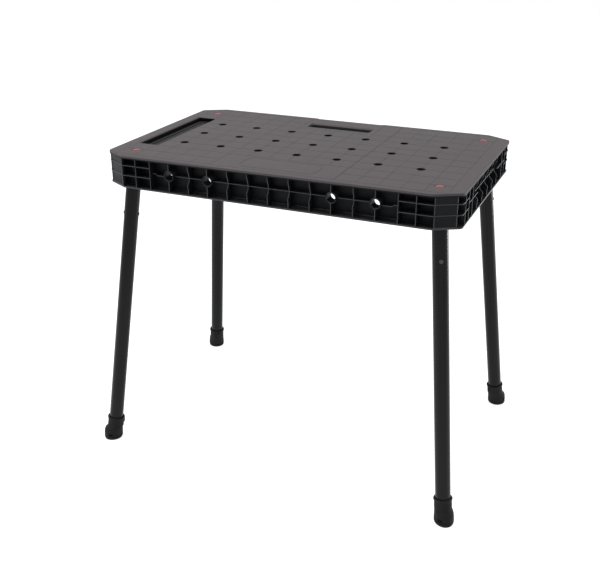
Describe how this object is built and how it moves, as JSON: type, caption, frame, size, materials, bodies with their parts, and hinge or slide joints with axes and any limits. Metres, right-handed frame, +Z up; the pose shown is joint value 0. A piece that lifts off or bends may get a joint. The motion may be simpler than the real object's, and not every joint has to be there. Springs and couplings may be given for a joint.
{
  "type": "portable workbench",
  "caption": "Portable workbench: ribbed moulded top with dog holes, edge clamp holes, parts tray and hand slot, on splayed plug-in tube legs with red push buttons.",
  "frame": {"origin": "centre of the bench's footprint, on the floor", "axes": "+X along the top to the right, +Y to the back, +Z up; the front with the edge holes faces -Y"},
  "size_m": [0.9172, 0.6066, 0.7462],
  "materials": {
    "deck_plastic": "moulded, fine texture",
    "frame_plastic": "moulded, fine texture",
    "socket_plastic": "moulded",
    "button_plastic": "moulded red",
    "spring_steel": "drawn wire",
    "screw_steel": "plated",
    "tube_paint": "black powder coat",
    "plug_plastic": "moulded",
    "pin_steel": "blackened",
    "foot_rubber": "moulded rubber"
  },
  "bodies": {
    "deck": {"deck_top": "deck_plastic", "edge_frame": "frame_plastic", "leg_socket_fl": "socket_plastic", "leg_socket_fr": "socket_plastic", "leg_socket_bl": "socket_plastic", "leg_socket_br": "socket_plastic", "button_spring_fl": "spring_steel", "button_spring_fr": "spring_steel", "button_spring_bl": "spring_steel", "button_spring_br": "spring_steel", "frame_screw_1": "screw_steel", "frame_screw_2": "screw_steel", "frame_screw_3": "screw_steel", "frame_screw_4": "screw_steel", "frame_screw_5": "screw_steel", "frame_screw_6": "screw_steel", "frame_screw_7": "screw_steel", "frame_screw_8": "screw_steel", "frame_screw_9": "screw_steel", "frame_screw_10": "screw_steel", "socket_screw_1": "screw_steel", "socket_screw_2": "screw_steel", "socket_screw_3": "screw_steel", "socket_screw_4": "screw_steel", "socket_screw_5": "screw_steel", "socket_screw_6": "screw_steel", "socket_screw_7": "screw_steel", "socket_screw_8": "screw_steel"},
    "leg_fl": {"leg_tube_fl": "tube_paint", "leg_plug_fl": "plug_plastic", "leg_pin_fl": "pin_steel", "leg_foot_fl": "foot_rubber"},
    "button_fl": {"release_button_fl": "button_plastic"},
    "leg_fr": {"leg_tube_fr": "tube_paint", "leg_plug_fr": "plug_plastic", "leg_pin_fr": "pin_steel", "leg_foot_fr": "foot_rubber"},
    "button_fr": {"release_button_fr": "button_plastic"},
    "leg_bl": {"leg_tube_bl": "tube_paint", "leg_plug_bl": "plug_plastic", "leg_pin_bl": "pin_steel", "leg_foot_bl": "foot_rubber"},
    "button_bl": {"release_button_bl": "button_plastic"},
    "leg_br": {"leg_tube_br": "tube_paint", "leg_plug_br": "plug_plastic", "leg_pin_br": "pin_steel", "leg_foot_br": "foot_rubber"},
    "button_br": {"release_button_br": "button_plastic"}
  },
  "joints": [
    {"name": "leg_fl_pull", "type": "slide", "parent": "deck", "child": "leg_fl", "axis": [-0.1029, -0.1058, -0.9891], "range_m": [0, 0.065]},
    {"name": "leg_fr_pull", "type": "slide", "parent": "deck", "child": "leg_fr", "axis": [0.1029, -0.1058, -0.9891], "range_m": [0, 0.065]},
    {"name": "leg_bl_pull", "type": "slide", "parent": "deck", "child": "leg_bl", "axis": [-0.1029, 0.1058, -0.9891], "range_m": [0, 0.065]},
    {"name": "leg_br_pull", "type": "slide", "parent": "deck", "child": "leg_br", "axis": [0.1029, 0.1058, -0.9891], "range_m": [0, 0.065]},
    {"name": "button_fl_press", "type": "slide", "parent": "deck", "child": "button_fl", "axis": [0, 0, -1], "range_m": [0, 0.004], "stiffness_N_per_m": 600, "springref_m": -0.003, "deforming": ["button_spring_fl"]},
    {"name": "button_fr_press", "type": "slide", "parent": "deck", "child": "button_fr", "axis": [0, 0, -1], "range_m": [0, 0.004], "stiffness_N_per_m": 600, "springref_m": -0.003, "deforming": ["button_spring_fr"]},
    {"name": "button_bl_press", "type": "slide", "parent": "deck", "child": "button_bl", "axis": [0, 0, -1], "range_m": [0, 0.004], "stiffness_N_per_m": 600, "springref_m": -0.003, "deforming": ["button_spring_bl"]},
    {"name": "button_br_press", "type": "slide", "parent": "deck", "child": "button_br", "axis": [0, 0, -1], "range_m": [0, 0.004], "stiffness_N_per_m": 600, "springref_m": -0.003, "deforming": ["button_spring_br"]}
  ]
}
